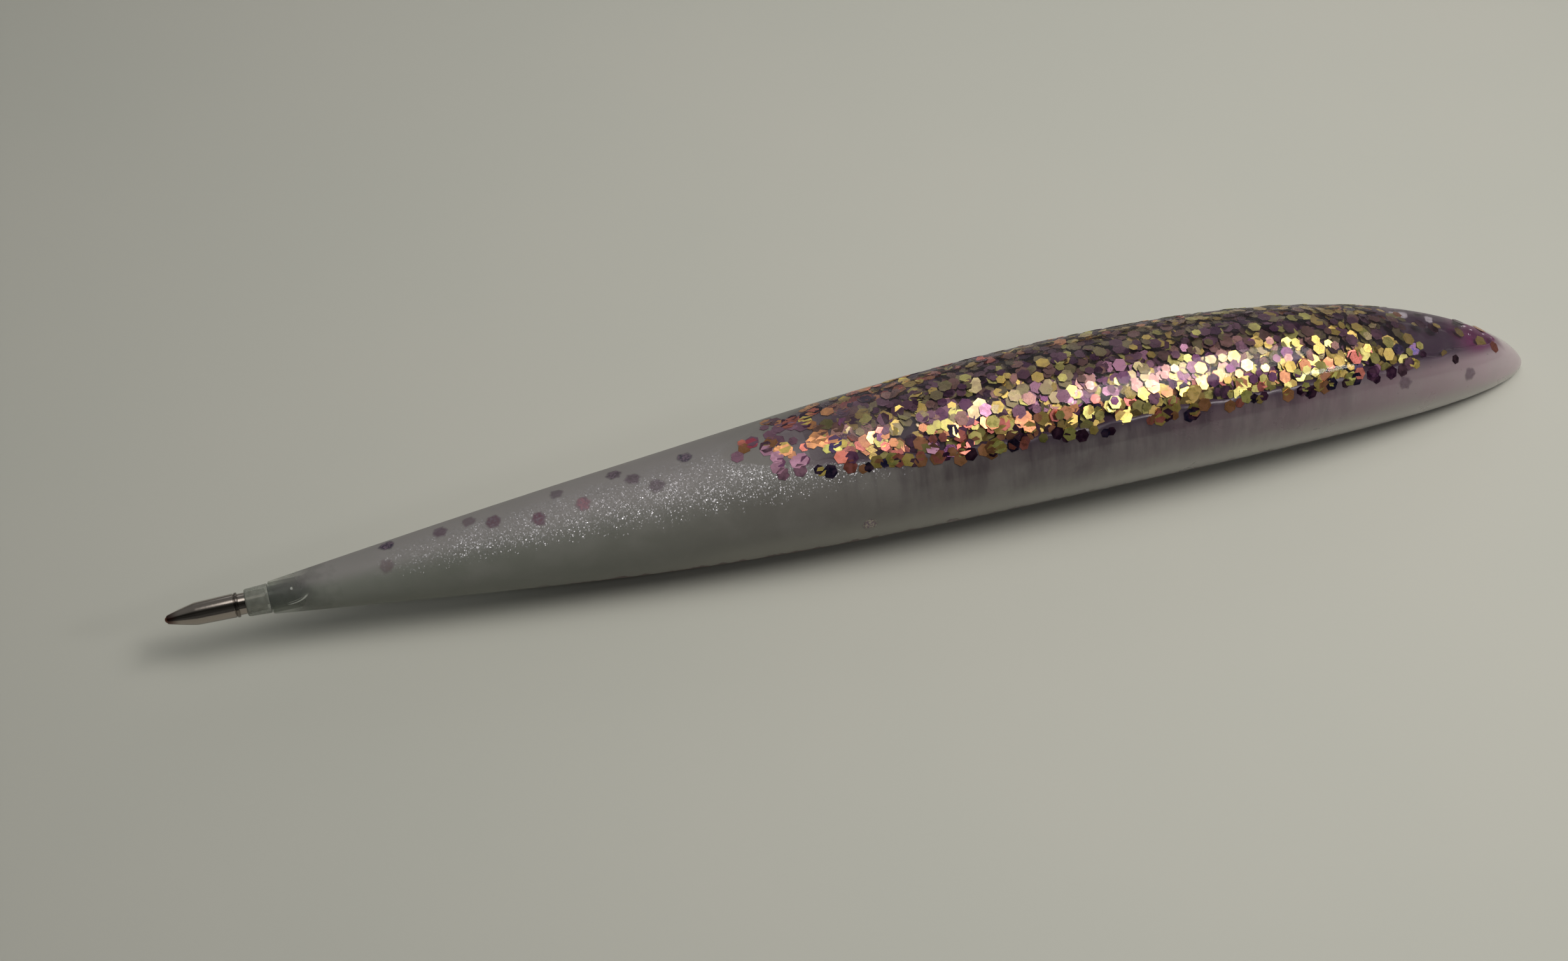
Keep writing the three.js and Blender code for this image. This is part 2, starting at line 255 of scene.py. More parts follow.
def capped_rings(grid):
    """Vertices and faces of a closed form from rings of points, each end closed with a middle point."""
    rings, sides, _ = grid.shape
    vertices = np.concatenate([grid.reshape(-1, 3), grid[0].mean(0)[None], grid[-1].mean(0)[None]])
    faces = ring_faces(rings, sides)
    start, end = rings * sides, rings * sides + 1
    last = (rings - 1) * sides
    for j in range(sides):
        k = (j + 1) % sides
        faces.append((start, k, j))
        faces.append((end, last + j, last + k))
    return vertices, faces


def turned(outline, sides=96, closed=False):
    """A form turned round the refill's axis from [x, radius] points. A closed outline is a ring."""
    outline = np.asarray(outline, float)
    turn = np.linspace(0, 2 * math.pi, sides, endpoint=False)
    grid = np.zeros((len(outline), sides, 3))
    grid[:, :, 0] = outline[:, 0, None]
    grid[:, :, 1] = -outline[:, 1, None] * np.cos(turn)
    grid[:, :, 2] = REFILL_HEIGHT + outline[:, 1, None] * np.sin(turn)
    if not closed:
        return capped_rings(grid)
    grid = np.concatenate([grid, grid[:1]])
    faces = ring_faces(len(grid), sides)
    count = len(outline) * sides
    faces = [tuple(v % count for v in face) for face in faces]
    return grid[:-1].reshape(-1, 3), faces


# ---------------------------------------------------------------- materials


class Material:
    """A node material under construction."""

    def __init__(self, name):
        self.material = bpy.data.materials.new(name)
        self.material.use_nodes = True
        self.tree = self.material.node_tree
        self.tree.nodes.clear()
        self.output = self.tree.nodes.new("ShaderNodeOutputMaterial")

    def node(self, kind, **settings):
        made = self.tree.nodes.new("ShaderNode" + kind)
        for key, value in settings.items():
            setattr(made, key, value)
        return made

    def put(self, socket, value):
        """Links a socket, or sets a plain value on it."""
        if isinstance(value, bpy.types.NodeSocket):
            self.tree.links.new(value, socket)
        else:
            socket.default_value = value

    def shader(self, kind, **inputs):
        made = self.node(kind)
        for key, value in inputs.items():
            self.put(made.inputs[key.replace("_", " ")], value)
        return made.outputs[0]

    def put_all(self, made, *values):
        """Fills a node's first sockets in their order, and gives its first output."""
        for socket, value in zip(made.inputs, values):
            self.put(socket, value)
        return made.outputs[0]

    def math(self, operation, a, b=0.0):
        return self.put_all(self.node("Math", operation=operation), a, b)

    def times(self, *values):
        product = values[0]
        for value in values[1:]:
            product = self.math("MULTIPLY", product, value)
        return product

    def plus(self, a, b):
        return self.math("ADD", a, b)

    def minus(self, a, b):
        return self.math("SUBTRACT", a, b)

    def squares(self, a, b):
        """The sum of two squares, as for the distance from a spot's middle."""
        return self.plus(self.math("POWER", a, 2.0), self.math("POWER", b, 2.0))

    def vector_math(self, operation, *values):
        return self.put_all(self.node("VectorMath", operation=operation), *values)

    def mix_shaders(self, share, first, second):
        return self.put_all(self.node("MixShader"), share, first, second)

    def spread(self, value, low, high, out_low=0.0, out_high=1.0, smooth=True):
        """Carries a value from one range to another."""
        made = self.node("MapRange", interpolation_type="SMOOTHSTEP" if smooth else "LINEAR")
        return self.put_all(made, value, low, high, out_low, out_high)

    def blend(self, share, a, b):
        """Mixes two colours."""
        made = self.node("Mix", data_type="RGBA")
        self.put(made.inputs[0], share)
        self.put(made.inputs[6], a)
        self.put(made.inputs[7], b)
        return made.outputs[2]

    def ramp(self, value, stops):
        """A colour ramp from (place, colour) stops."""
        made = self.node("ValToRGB")
        points = made.color_ramp.elements
        while len(points) < len(stops):
            points.new(0.5)
        for point, (place, colour) in zip(points, stops):
            point.position = place
            point.color = colour
        self.put(made.inputs[0], value)
        return made.outputs[0]

    def attribute(self, name, output="Fac"):
        return self.node("Attribute", attribute_name=name).outputs[output]

    def place(self):
        return self.node("TexCoord").outputs["Object"]

    def noise(self, vector, scale, detail=3.0, roughness=0.5, distortion=0.0):
        made = self.node("TexNoise")
        for key, v in (("Vector", vector), ("Scale", scale), ("Detail", detail)):
            self.put(made.inputs[key], v)
        made.inputs["Roughness"].default_value = roughness
        made.inputs["Distortion"].default_value = distortion
        return made.outputs["Fac"]

    def stretched(self, x, y):
        return self.put_all(self.node("CombineXYZ"), x, y)

    def split(self, place):
        """The three parts of a position."""
        apart = self.node("SeparateXYZ")
        self.put(apart.inputs[0], place)
        return apart.outputs

    def bump(self, height, strength, distance, normal=None):
        made = self.node("Bump")
        self.put(made.inputs["Height"], height)
        made.inputs["Strength"].default_value = strength
        made.inputs["Distance"].default_value = distance
        if normal is not None:
            self.put(made.inputs["Normal"], normal)
        return made.outputs[0]

    def finish(self, shader, *pieces):
        self.tree.links.new(shader, self.output.inputs["Surface"])
        for piece in pieces:
            piece.data.materials.clear()
            piece.data.materials.append(self.material)


def srgb(red, green, blue):
    """A colour as the eye sees it, 0 to 255, in the renderer's linear scale."""
    return (*(((v / 255 + 0.055) / 1.055) ** 2.4 if v > 10 else v / 3294.6 for v in (red, green, blue)), 1.0)


# ---------------------------------------------------------------- barrel

PEARL_RINGS = 330
PEARL_SIDES = 216
RING_CROWDING = 1.35  # more than 1 sets the rings closer towards the tail
BORE_RING_GAPS = (3 * MM, 0.1 * MM, 0)  # the bore's last rings, from the nose
MOUTH_FLARE = 1.01
NOSE_SHOULDER = 0.05 * MM
DEEPEST_HOLLOW = 0.6  # share of the barrel's radius
DEEPEST_SHELL = 0.75
FAR_FROM_EDGE = 20  # the glitter edge's distance for the bore, in millimetres
EDGE_SOFTNESS = 0.14 * MM  # rounding where the flat meets the barrel's side
LIP_ROUNDING = 0.04 * MM


def lifted(z):
    """Height above the table: the underside is cut flat, with a soft edge."""
    return 0.5 * (z + np.sqrt(z * z + EDGE_SOFTNESS**2))


def bore_rings(around):
    """The refill's bore, from its blind end to the nose."""
    xs = [BORE_END_X, (BORE_END_X + NOSE_X) / 2] + [NOSE_X + gap for gap in BORE_RING_GAPS]
    radii = np.full(len(xs), BORE_RADIUS)
    radii[-1] *= MOUTH_FLARE
    turn = np.radians(around)
    rings = np.zeros((len(xs), len(around), 3))
    rings[:, :, 0] = np.array(xs)[:, None]
    rings[:, :, 1] = -radii[:, None] * np.cos(turn)
    rings[:, :, 2] = REFILL_HEIGHT + radii[:, None] * np.sin(turn)
    return rings


def nose_lip(first_ring):
    """The nose's end face, a little narrower than the ring behind it."""
    shrink = (NOSE_RADIUS - LIP_ROUNDING) / NOSE_RADIUS
    lip = first_ring.copy()
    lip[:, 0] = NOSE_X
    lip[:, 1] *= shrink
    lip[:, 2] = REFILL_HEIGHT + (lip[:, 2] - REFILL_HEIGHT) * shrink
    return lip


def pearl_body():
    """The milky casting: bore, lip of the nose, outside with the glitter layer's hollow, and tail."""
    around = np.linspace(-90, 270, PEARL_SIDES, endpoint=False)
    share = np.linspace(0, 1, PEARL_RINGS)
    outside_x = NOSE_X + BARREL_LENGTH * (1 - (1 - share) ** RING_CROWDING) * 0.9999
    xs, turns = np.meshgrid(outside_x, around, indexing="ij")
    along = x_to_along(xs)
    hollow = np.minimum(hollow_depth(along, turns) * MM, DEEPEST_HOLLOW * barrel_radius(xs))
    outside = surface(xs, turns, hollow)
    outside[:, :, 2] = lifted(outside[:, :, 2])
    outside[0, :, 0] += NOSE_SHOULDER
    inside = np.concatenate([bore_rings(around), nose_lip(outside[0])[None]])
    whole = np.concatenate([inside, outside])
    vertices, faces = capped_rings(whole)
    inner_shape = inside.shape[:2]
    end_points = np.zeros(2)
    end_x = np.array([BORE_END_X, TAIL_X])
    whole_along = np.concatenate([x_to_along(whole[:, :, 0]).ravel(), x_to_along(end_x)])
    whole_around = np.concatenate([np.broadcast_to(around, inner_shape).ravel(), turns.ravel(), end_points])
    whole_edge = np.concatenate([
        np.full(inner_shape, FAR_FROM_EDGE).ravel(),
        edge_distance(along, turns).ravel(),
        end_points + FAR_FROM_EDGE,
    ])
    return new_piece(
        "pearl_body", vertices, faces, "barrel", "pearl_resin", ["pearl_casting"],
        sharp_degrees=50, along=whole_along, around=whole_around, edge=whole_edge,
    )


def patch(name, top_depth, thickness, margin, rows, columns, **extra):
    """A closed shell over the glitter layer, reaching a margin in millimetres past its edge.

    The top's depth under the surface is worked out from along and from the
    distance to the layer's wandering edge.
    """
    u = np.linspace(0, 1, rows)
    from_along = GLITTER_FRONT_ALONG - margin
    along = from_along + (GLITTER_END_ALONG + margin - from_along) * (1 - np.cos(math.pi * u)) / 2
    radius = barrel_radius(along_to_x(along))
    width = half_width(along) + np.degrees(margin * MM / radius)
    across = np.linspace(-1, 1, columns)
    around = 90 + width[:, None] * across
    xs = along_to_x(along)[:, None] + 0 * around
    along = x_to_along(xs)
    edge = edge_distance(along, around)
    depth = top_depth(along, edge + ragged(along, around))
    deepest = DEEPEST_SHELL * barrel_radius(xs)
    top = surface(xs, around, np.minimum(depth, deepest - thickness))
    under = surface(xs, around, np.minimum(depth + thickness, deepest))
    count = rows * columns
    faces = []
    for i in range(rows - 1):
        for j in range(columns - 1):
            a = i * columns + j
            b = a + columns
            faces.append((a, b, b + 1, a + 1))
            faces.append((count + a, count + a + 1, count + b + 1, count + b))
    loop = list(range(columns))
    loop += [i * columns + columns - 1 for i in range(1, rows)]
    loop += [(rows - 1) * columns + j for j in range(columns - 2, -1, -1)]
    loop += [i * columns for i in range(rows - 2, 0, -1)]
    for i, a in enumerate(loop):
        b = loop[(i + 1) % len(loop)]
        faces.append((a, b, count + b, count + a))
    return new_piece(
        name, np.concatenate([top.reshape(-1, 3), under.reshape(-1, 3)]), faces,
        "barrel", "glitter_resin",
        along=np.tile(along.ravel(), 2), around=np.tile(around.ravel(), 2), edge=np.tile(edge.ravel(), 2),
        **extra,
    )


def skin_depth(along, edge):
    """The clear skin lies flush, and dives under the pearl at the front and past the hollow's edge."""
    ahead = 1 - smoothstep(along, GROOVE_FRONT_ALONG, GROOVE_FRONT_ALONG + 2)
    return SKIN_COVER + SKIN_DIVE * np.maximum(smoothstep(edge, 0.08, 0.4), ahead)


def bed_depth(along, _edge):
    """The bed lies just under the hollow's floor, equally deep from edge to edge."""
    return (0.15 + 0.9 * groove_depth(along)) * MM


# ---------------------------------------------------------------- glitter

SMALL_FLAKE = 0.52 * MM  # middle to corner
LARGE_FLAKE = 0.74 * MM
FLAKE_THICKNESS = 0.02 * MM
DEEP_SHADE = 0.55  # how much darker the deepest flakes look through the tinted resin
FLAKE_PLACES = 2800  # places drawn; the shallow ones at the edges don't all get a flake
FLAKE_GROUPS = {"front": (0, 84), "middle": (84, 116), "rear": (116, 150)}
WIDEST_ARC = 8  # millimetres; the layer gets as many more flakes as it is wider
THINNING_START, THINNING_END = 122, 136
SHALLOWEST = 0.2  # millimetres of hollow that a flake needs to lie inside it
SURFACE_SINK = -0.012 * MM  # a flake in the pearl's surface stands out this little
SURFACE_SHARE = 0.45
UPPER_FLAKE_DEPTH = 0.1
LOWEST_FLAKE_SHARE = 0.85
LOOSENESS = 0.06, 0.2  # how far flakes tilt: the least, and the most on top of that
SMALL_SHARE = 0.55
EDGE_SPILL = 0.9  # millimetres that flakes stray past the layer's edge

GOLD = srgb(232, 206, 110)
LEMON = srgb(226, 222, 124)
ORANGE = srgb(232, 164, 112)
SALMON = srgb(222, 130, 112)
PINK = srgb(206, 92, 112)
OLIVE = srgb(160, 150, 106)
BROWN = srgb(150, 116, 104)
MAUVE = srgb(120, 88, 104)
LILAC = srgb(158, 118, 138)
PLUM = srgb(80, 46, 76)
NAVY = srgb(40, 38, 68)


def pick(weights):
    """One of the colours, by (colour, weight) pairs."""
    total = sum(weight for _, weight in weights)
    draw = RANDOM.random() * total
    for colour, weight in weights:
        draw -= weight
        if draw <= 0:
            return colour
    return weights[-1][0]


def flake_colour(along, inside):
    """The colour of a flake so far along, and so many millimetres inside the layer's edge."""
    if along < 66:
        return pick([(LILAC, 6), (MAUVE, 2), (PINK, 1), (PLUM, 1), (SALMON, 2), (ORANGE, 2), (GOLD, 1)])
    if inside < 0.5:
        return pick([(NAVY, 4), (PLUM, 3), (MAUVE, 2), (ORANGE, 3), (SALMON, 2), (GOLD, 2)])
    if inside < 3.4:
        gold = float(smoothstep(along, 68, 104))
        return pick([
            (ORANGE, 5 - 3 * gold), (SALMON, 4 - 3 * gold), (GOLD, 2 + 4 * gold),
            (LEMON, 0.5 + 4 * gold), (PLUM, 1.2), (NAVY, 0.5), (MAUVE, 1),
        ])
    return pick([(GOLD, 2), (LEMON, 1.5), (OLIVE, 4), (BROWN, 4), (MAUVE, 4), (PLUM, 2)])


def flake_form(centre, normal, spin, radius):
    """The 12 corners of one thin hexagonal flake."""
    side = np.cross(normal, (1.0, 0.0, 0.0))
    side /= np.linalg.norm(side)
    front = np.cross(side, normal)
    turn = spin + np.arange(6) * math.pi / 3
    ring = radius * (np.cos(turn)[:, None] * side + np.sin(turn)[:, None] * front)
    lift = normal * FLAKE_THICKNESS / 2
    return np.concatenate([centre + ring + lift, centre + ring - lift])


def flake_faces(first):
    faces = [tuple(first + i for i in range(6)), tuple(first + 11 - i for i in range(6))]
    for i in range(6):
        k = (i + 1) % 6
        faces.append((first + k, first + i, first + 6 + i, first + 6 + k))
    return faces


def flake_density(along):
    """How many of the flakes stay, as a share: few at the front end and in the tail."""
    front = float(smoothstep(along, GLITTER_FRONT_ALONG, 70))
    tail = float(smoothstep(along, THINNING_START, THINNING_END))
    return 0.05 + front * (1 - 0.97 * tail)


def tilted(normal, amount, loose):
    """A flake's normal, turned a little at random."""
    off = np.array([RANDOM.normal(), RANDOM.normal(), RANDOM.normal()])
    leaning = normal + loose * off * (0.35 + 0.65 * amount)
    return leaning / np.linalg.norm(leaning)


def scatter_flakes():
    """The settled flakes: hexagons lying nearly level with the surface, several deep."""
    held = {key: ([], [], []) for key in FLAKE_GROUPS}
    places = 0
    while places < FLAKE_PLACES:
        along = RANDOM.uniform(GLITTER_FRONT_ALONG, GLITTER_END_ALONG - 0.3)
        across = RANDOM.uniform(-1, 1)
        keep, depth, lean, growth, spin, size, shade, keep_dense = RANDOM.random(8)
        width = float(half_width(along))
        radius_here = float(barrel_radius(along_to_x(along)))
        arc = math.radians(width) * radius_here / MM
        if keep > arc / WIDEST_ARC:
            continue
        around = 90 + across * (width + math.degrees(EDGE_SPILL * MM / radius_here))
        if keep_dense > flake_density(along):
            continue
        places += 1
        room = float(hollow_depth(along, around))
        if room < SHALLOWEST:
            if keep_dense > SURFACE_SHARE:
                continue
            sunk, flat = SURFACE_SINK, 0.1
        else:
            lowest = LOWEST_FLAKE_SHARE * room
            sunk, flat = (UPPER_FLAKE_DEPTH + (lowest - UPPER_FLAKE_DEPTH) * depth) * MM, 1.0
        x = np.array(along_to_x(along))
        least, more = LOOSENESS
        normal = tilted(outward(x, np.array(around)), lean, flat * (least + more * shade * shade))
        radius = (SMALL_FLAKE if size < SMALL_SHARE else LARGE_FLAKE) * (0.94 + 0.12 * growth)
        tint = np.array(flake_colour(along, (1 - abs(across)) * arc))
        tint[:3] = np.minimum(1, tint[:3] * (0.8 + 0.55 * shade) * (1 - DEEP_SHADE * depth))
        key = next(k for k, (low, high) in FLAKE_GROUPS.items() if low <= along < high)
        points, faces, tints = held[key]
        faces.extend(flake_faces(len(points) * 12))
        points.append(flake_form(surface(x, np.array(around), sunk), normal, spin * math.pi, radius))
        tints.append(np.tile(tint, (12, 1)))
    return [
        new_piece(
            "glitter_flakes_" + key, np.concatenate(points), faces, "barrel", "glitter_flake",
            sharp_degrees=30, tint=np.concatenate(tints),
        )
        for key, (points, faces, tints) in held.items()
    ]


DRIFTED_SIZE = 1.1 * MM  # middle to corner
DRIFTED_TOP, DRIFTED_RIM, DRIFTED_UNDER = -0.012 * MM, 0.02 * MM, 0.05 * MM  # under the surface


def drifted_flake(number):
    """A stray flake just under the pearl surface, seen as a soft spot that follows the barrel."""
    node = f"stray_flake_{number:02d}"
    low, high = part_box(node)
    middle = (low + high) / 2
    x = middle.x
    radius_here = float(barrel_radius(np.array(x)))
    around = math.degrees(math.atan2(middle.z - float(spine_height(np.array(x))), -middle.y))
    rings, sides = 6, 36
    points, rim = [], []
    for sunk in (DRIFTED_TOP, DRIFTED_UNDER):
        for i in range(rings + 1):
            for j in range(sides if i else 1):
                turn = 2 * math.pi * j / sides
                sector = (turn % (math.pi / 3)) - math.pi / 6
                reach = DRIFTED_SIZE * (i / rings) * math.cos(math.pi / 6) / math.cos(sector)
                dx = reach * math.cos(turn)
                swing = math.degrees(reach * math.sin(turn) / radius_here)
                depth = sunk if i < rings else DRIFTED_RIM
                points.append(surface(np.array(x + dx), np.array(around + swing), depth))
                rim.append(i / rings)
    count = 1 + rings * sides
    faces = []
    for level in (0, 1):
        base = level * count
        for j in range(sides):
            k = (j + 1) % sides
            tri = (base, base + 1 + j, base + 1 + k)
            faces.append(tri if level == 0 else tri[::-1])
            for i in range(rings - 1):
                a = base + 1 + i * sides
                quad = (a + j, a + sides + j, a + sides + k, a + k)
                faces.append(quad if level == 0 else quad[::-1])
    edge = 1 + (rings - 1) * sides
    for j in range(sides):
        k = (j + 1) % sides
        faces.append((edge + k, edge + j, count + edge + j, count + edge + k))
    return new_piece(
        f"drifted_flake_{number:02d}", np.array(points), faces, "barrel", "glitter_flake", [node],
        rim=np.array(rim),
    )


# ---------------------------------------------------------------- refill pieces


def nib_cone():
    """Outline of the nib's slightly bulging cone, from the ball's rim to the shoulder."""
    steps, bulge = 12, 0.03 * MM
    start_x, start = NIB_LOW.x + 0.1 * MM, 0.45 * MM
    length, rise = POINT_X + NIB_CONE_LENGTH - start_x, NIB_SHOULDER_RADIUS - start
    outline = []
    for i in range(steps + 1):
        t = i / steps
        outline.append((start_x + length * t, start + rise * t + bulge * math.sin(math.pi * t)))
    return outline


def nib_housing():
    """Rim, cone, body with a groove before its rear lip, shank, and the ink's channel with its socket."""
    edge_x = NIB_LOW.x
    shoulder_x = POINT_X + NIB_CONE_LENGTH
    lip = NIB_HIGH.y
    groove = lip - 0.1 * MM
    socket = BALL_RADIUS + 0.02 * MM
    feed = 0.55 * MM
    outline = [(edge_x, 0.3 * MM), (edge_x, 0.37 * MM), (edge_x + 0.03 * MM, 0.41 * MM)]
    outline += nib_cone()
    outline += [
        (shoulder_x + 0.15 * MM, NIB_SHOULDER_RADIUS + 0.015 * MM),
        (NIB_LIP_X - 0.45 * MM, lip - 0.045 * MM),
        (NIB_LIP_X - 0.38 * MM, groove),
        (NIB_LIP_X - 0.33 * MM, groove),
        (NIB_LIP_X - 0.26 * MM, lip - 0.005 * MM),
        (NIB_LIP_X - 0.2 * MM, lip),
        (NIB_LIP_X - 0.05 * MM, lip),
        (NIB_LIP_X, lip - 0.05 * MM),
        (NIB_LIP_X, SHANK_RADIUS),
        (NIB_HIGH.x, SHANK_RADIUS),
        (NIB_HIGH.x, feed),
        (shoulder_x, feed),
        (POINT_X + 2 * BALL_RADIUS + 0.15 * MM, INK_CHANNEL_RADIUS),
        (POINT_X + 2 * BALL_RADIUS, INK_CHANNEL_RADIUS),
        (POINT_X + 1.5 * BALL_RADIUS, socket),
        (POINT_X + BALL_RADIUS, socket),
    ]
    vertices, faces = turned(outline, closed=True)
    return new_piece("nib", vertices, faces, "refill", "nib_metal", ["nib_housing"], sharp_degrees=35)


def writing_ball():
    steps = 24
    outline = []
    for i in range(1, steps):
        turn = math.pi * i / steps
        outline.append((POINT_X + BALL_RADIUS * (1 - math.cos(turn)), BALL_RADIUS * math.sin(turn)))
    vertices, faces = turned(outline, sides=40)
    return new_piece("rolling_ball", vertices, faces, "ball", "ball_metal", ["writing_ball"])


def tip_holder():
    """The collar: a rounded flange before the tube, a plug inside it, and the nib's socket."""
    front = TUBE_RADIUS - 0.1 * MM
    rounding = 0.24 * MM
    flange_end = TUBE_LOW.x - SEAT_PLAY
    plug = TUBE_RADIUS - TUBE_WALL - SEAT_PLAY
    socket = SHANK_RADIUS + SEAT_PLAY
    feed = 0.6 * MM
    outline = [(HOLDER_LOW.x, socket)]
    for t in np.linspace(math.pi / 2, 0, 6):
        outline.append((HOLDER_LOW.x + rounding * (1 - math.sin(t)), front - rounding * (1 - math.cos(t))))
    outline += [
        (flange_end - 0.08 * MM, TUBE_RADIUS - 0.003 * MM),
        (flange_end, TUBE_RADIUS - 0.06 * MM),
        (flange_end, plug),
        (HOLDER_HIGH.x - 0.3 * MM, plug),
        (HOLDER_HIGH.x, plug - 0.2 * MM),
        (HOLDER_HIGH.x, feed),
        (NIB_HIGH.x + SEAT_PLAY, feed),
        (NIB_HIGH.x + SEAT_PLAY, socket),
    ]
    vertices, faces = turned(outline, closed=True)
    return new_piece(
        "clear_collar", vertices, faces, "refill", "clear_plastic", ["tip_holder"], sharp_degrees=35,
    )


def ink_tube():
    inner = TUBE_RADIUS - TUBE_WALL
    ease = 0.06 * MM
    outline = [
        (TUBE_LOW.x, inner + ease), (TUBE_LOW.x, TUBE_RADIUS - ease),
        (TUBE_LOW.x + ease, TUBE_RADIUS), (TUBE_HIGH.x - ease, TUBE_RADIUS),
        (TUBE_HIGH.x, TUBE_RADIUS - ease), (TUBE_HIGH.x, inner + ease),
        (TUBE_HIGH.x - ease, inner), (TUBE_LOW.x + ease, inner),
    ]
    vertices, faces = turned(outline, closed=True)
    return new_piece(
        "refill_tube", vertices, faces, "refill", "clear_plastic", ["ink_tube"], sharp_degrees=35,
    )


def gel_ink():
    """The ink column."""
    radius = INK_HIGH.y
    length = INK_HIGH.x - INK_LOW.x
    outline = [(INK_LOW.x, radius * 0.6), (INK_LOW.x + 0.02 * MM, radius)]
    outline += [(INK_LOW.x + length * t, radius) for t in np.linspace(0.02, 0.995, 30)]
    outline += [(INK_HIGH.x, radius * 0.8)]
    vertices, faces = turned(outline, sides=64)
    piece = new_piece("ink_column", vertices, faces, "refill", "ink", ["gel_ink"], sharp_degrees=40)
    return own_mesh(piece)


def follower_grease():
    """The slug of grease: a flat front against the ink, and a hollowed rear end."""
    radius = GREASE_HIGH.y
    length = GREASE_HIGH.x - GREASE_LOW.x
    hollow = 0.9 * MM
    middle = 0.05  # the least share of the radius, round the axis
    outline = [(GREASE_LOW.x, radius * max(t, middle)) for t in np.linspace(0, 1, 9)]
    outline += [(GREASE_LOW.x + length * t, radius) for t in (0.3, 0.6, 0.9)]
    for turn in np.linspace(0, math.pi / 2, 8):
        outline.append((GREASE_HIGH.x - hollow * math.sin(turn), radius * max(math.cos(turn), middle)))
    vertices, faces = turned(outline, sides=64)
    return new_piece(
        "grease_plug", vertices, faces, "follower", "grease", ["follower_grease"], sharp_degrees=40,
    )


# ---------------------------------------------------------------- material recipes


PLUM_SHADOW = srgb(50, 34, 54)
HOLLOW_PURPLE = srgb(44, 20, 42)
NOSE_CLOUDED_ALONG = 17.5  # behind this the pearl is no longer clear


def milky_tones(m, along, around, clouds):
    """The milky resin: grey at the nose, dark at the belly where the glitter shows through, partly painted
    shade under it, pinkish at the tail, with painted light: lighter low down for the floor's bounce, and a
    painted sheen on top.
    """
    base = m.ramp(m.spread(along, 11.5, 149, smooth=False), [
        (0.0, srgb(124, 127, 119)), (0.12, srgb(114, 116, 108)), (0.27, srgb(110, 110, 103)),
        (0.42, srgb(104, 100, 96)), (0.6, srgb(78, 66, 71)), (0.78, srgb(106, 86, 95)),
        (0.9, srgb(136, 114, 122)), (1.0, srgb(174, 154, 160)),
    ])
    base = m.blend(m.spread(clouds, 0.35, 0.7, 0.0, 0.3), base, srgb(140, 138, 134))
    # painted light: lighter low down, for light bounced up from the floor
    painted_floor_bounce = m.times(m.spread(around, 12, -12), m.spread(along, 44, 60, 0.0, 0.6))
    base = m.blend(painted_floor_bounce, base, srgb(142, 140, 132))
    # painted sheen: lighter on top at the front, where the soft highlight falls
    painted_top_sheen = m.times(m.spread(around, 40, 80), m.spread(along, 70, 50), 0.5)
    return m.blend(painted_top_sheen, base, srgb(140, 132, 134))


def glitter_stains(m, base, along, around, edge, hollow):
    """Purple in and round the glitter layer's hollow, with painted shade below the layer and along its edge.
    """
    # painted shade: soft dark vertical bands below the glitter layer, for the shadow of its flakes inside the
    # resin
    shade_streak_place = m.stretched(m.times(along, 0.75), m.times(around, 0.02))
    shade_streaks = m.noise(shade_streak_place, 1.0, 3.0, 0.6)
    zone = m.times(m.spread(along, 60, 82), m.spread(along, 134, 112))
    amount = m.times(zone, m.spread(edge, 9.0, 0.0), m.spread(shade_streaks, 0.38, 0.68), 0.6)
    base = m.blend(amount, base, srgb(52, 40, 50))
    # painted shade: darker plum along the glitter layer's edge, outside and just inside it
    painted_edge_shade = m.times(m.spread(edge, 1.5, -0.1), m.spread(along, 62, 80), 0.7)
    base = m.blend(painted_edge_shade, base, PLUM_SHADOW)
    base = m.blend(m.times(hollow, m.spread(along, 60, 76)), base, HOLLOW_PURPLE)
    # the last of the purple resin, gathered at the tail end of the layer
    blob = m.times(m.spread(edge, 1.3, -0.2), m.spread(along, 138, 142), 0.85)
    return m.blend(blob, base, srgb(100, 22, 76))


def nose_marks(m, along, around, smoke):
    """Where the ink shows dimly through the thin nose, and a painted highlight: a bright crescent rim round
    it, with a bright dot beside the rim.
    """
    inked_along = m.math("DIVIDE", m.minus(along, 11.6), 2.7)
    inked_around = m.math("DIVIDE", m.minus(around, 54.0), 38.0)
    reach = m.math("SQRT", m.squares(inked_along, inked_around))
    inked = m.times(m.spread(reach, 1.25, 0.8), m.spread(along, 10.2, 10.4))
    inked = m.times(inked, m.spread(smoke, 0.3, 0.6, 0.75, 1.0))
    on_highlight_rim = m.spread(m.math("ABSOLUTE", m.minus(reach, 1.0)), 0.07, 0.02)
    rim = m.times(on_highlight_rim, m.spread(inked_along, 0.0, 0.35), m.spread(inked_around, -0.25, -0.5))
    from_dot = m.squares(m.minus(along, 12.7), m.times(m.minus(around, 66.0), 0.034))
    return inked, m.math("MAXIMUM", rim, m.spread(from_dot, 0.03, 0.005))


def low_band_and_tail_nicks(m, base, along, around):
    """A darker reddish-brown band low along the underside, with a wavering top edge, and nicks in the tail.
    """
    low_noise = m.noise(m.stretched(m.times(along, 0.5), 0.0), 1.0, 4.0)
    band_top = m.spread(low_noise, 0.35, 0.7, -33.0, -22.0)
    low = m.times(m.spread(m.minus(around, band_top), 1.5, -1.5), m.spread(around, -75, -60))
    low = m.times(low, m.spread(along, 30, 44), 0.75)
    base = m.blend(low, base, srgb(70, 38, 42))
    slit_place = m.stretched(m.plus(m.times(along, 0.9), m.times(around, 0.05)), m.times(around, 0.16))
    slits = m.spread(m.noise(slit_place, 1.6, 2.0), 0.7, 0.74)
    return m.blend(m.times(slits, m.spread(along, 122, 130), 0.6), base, srgb(60, 44, 50))


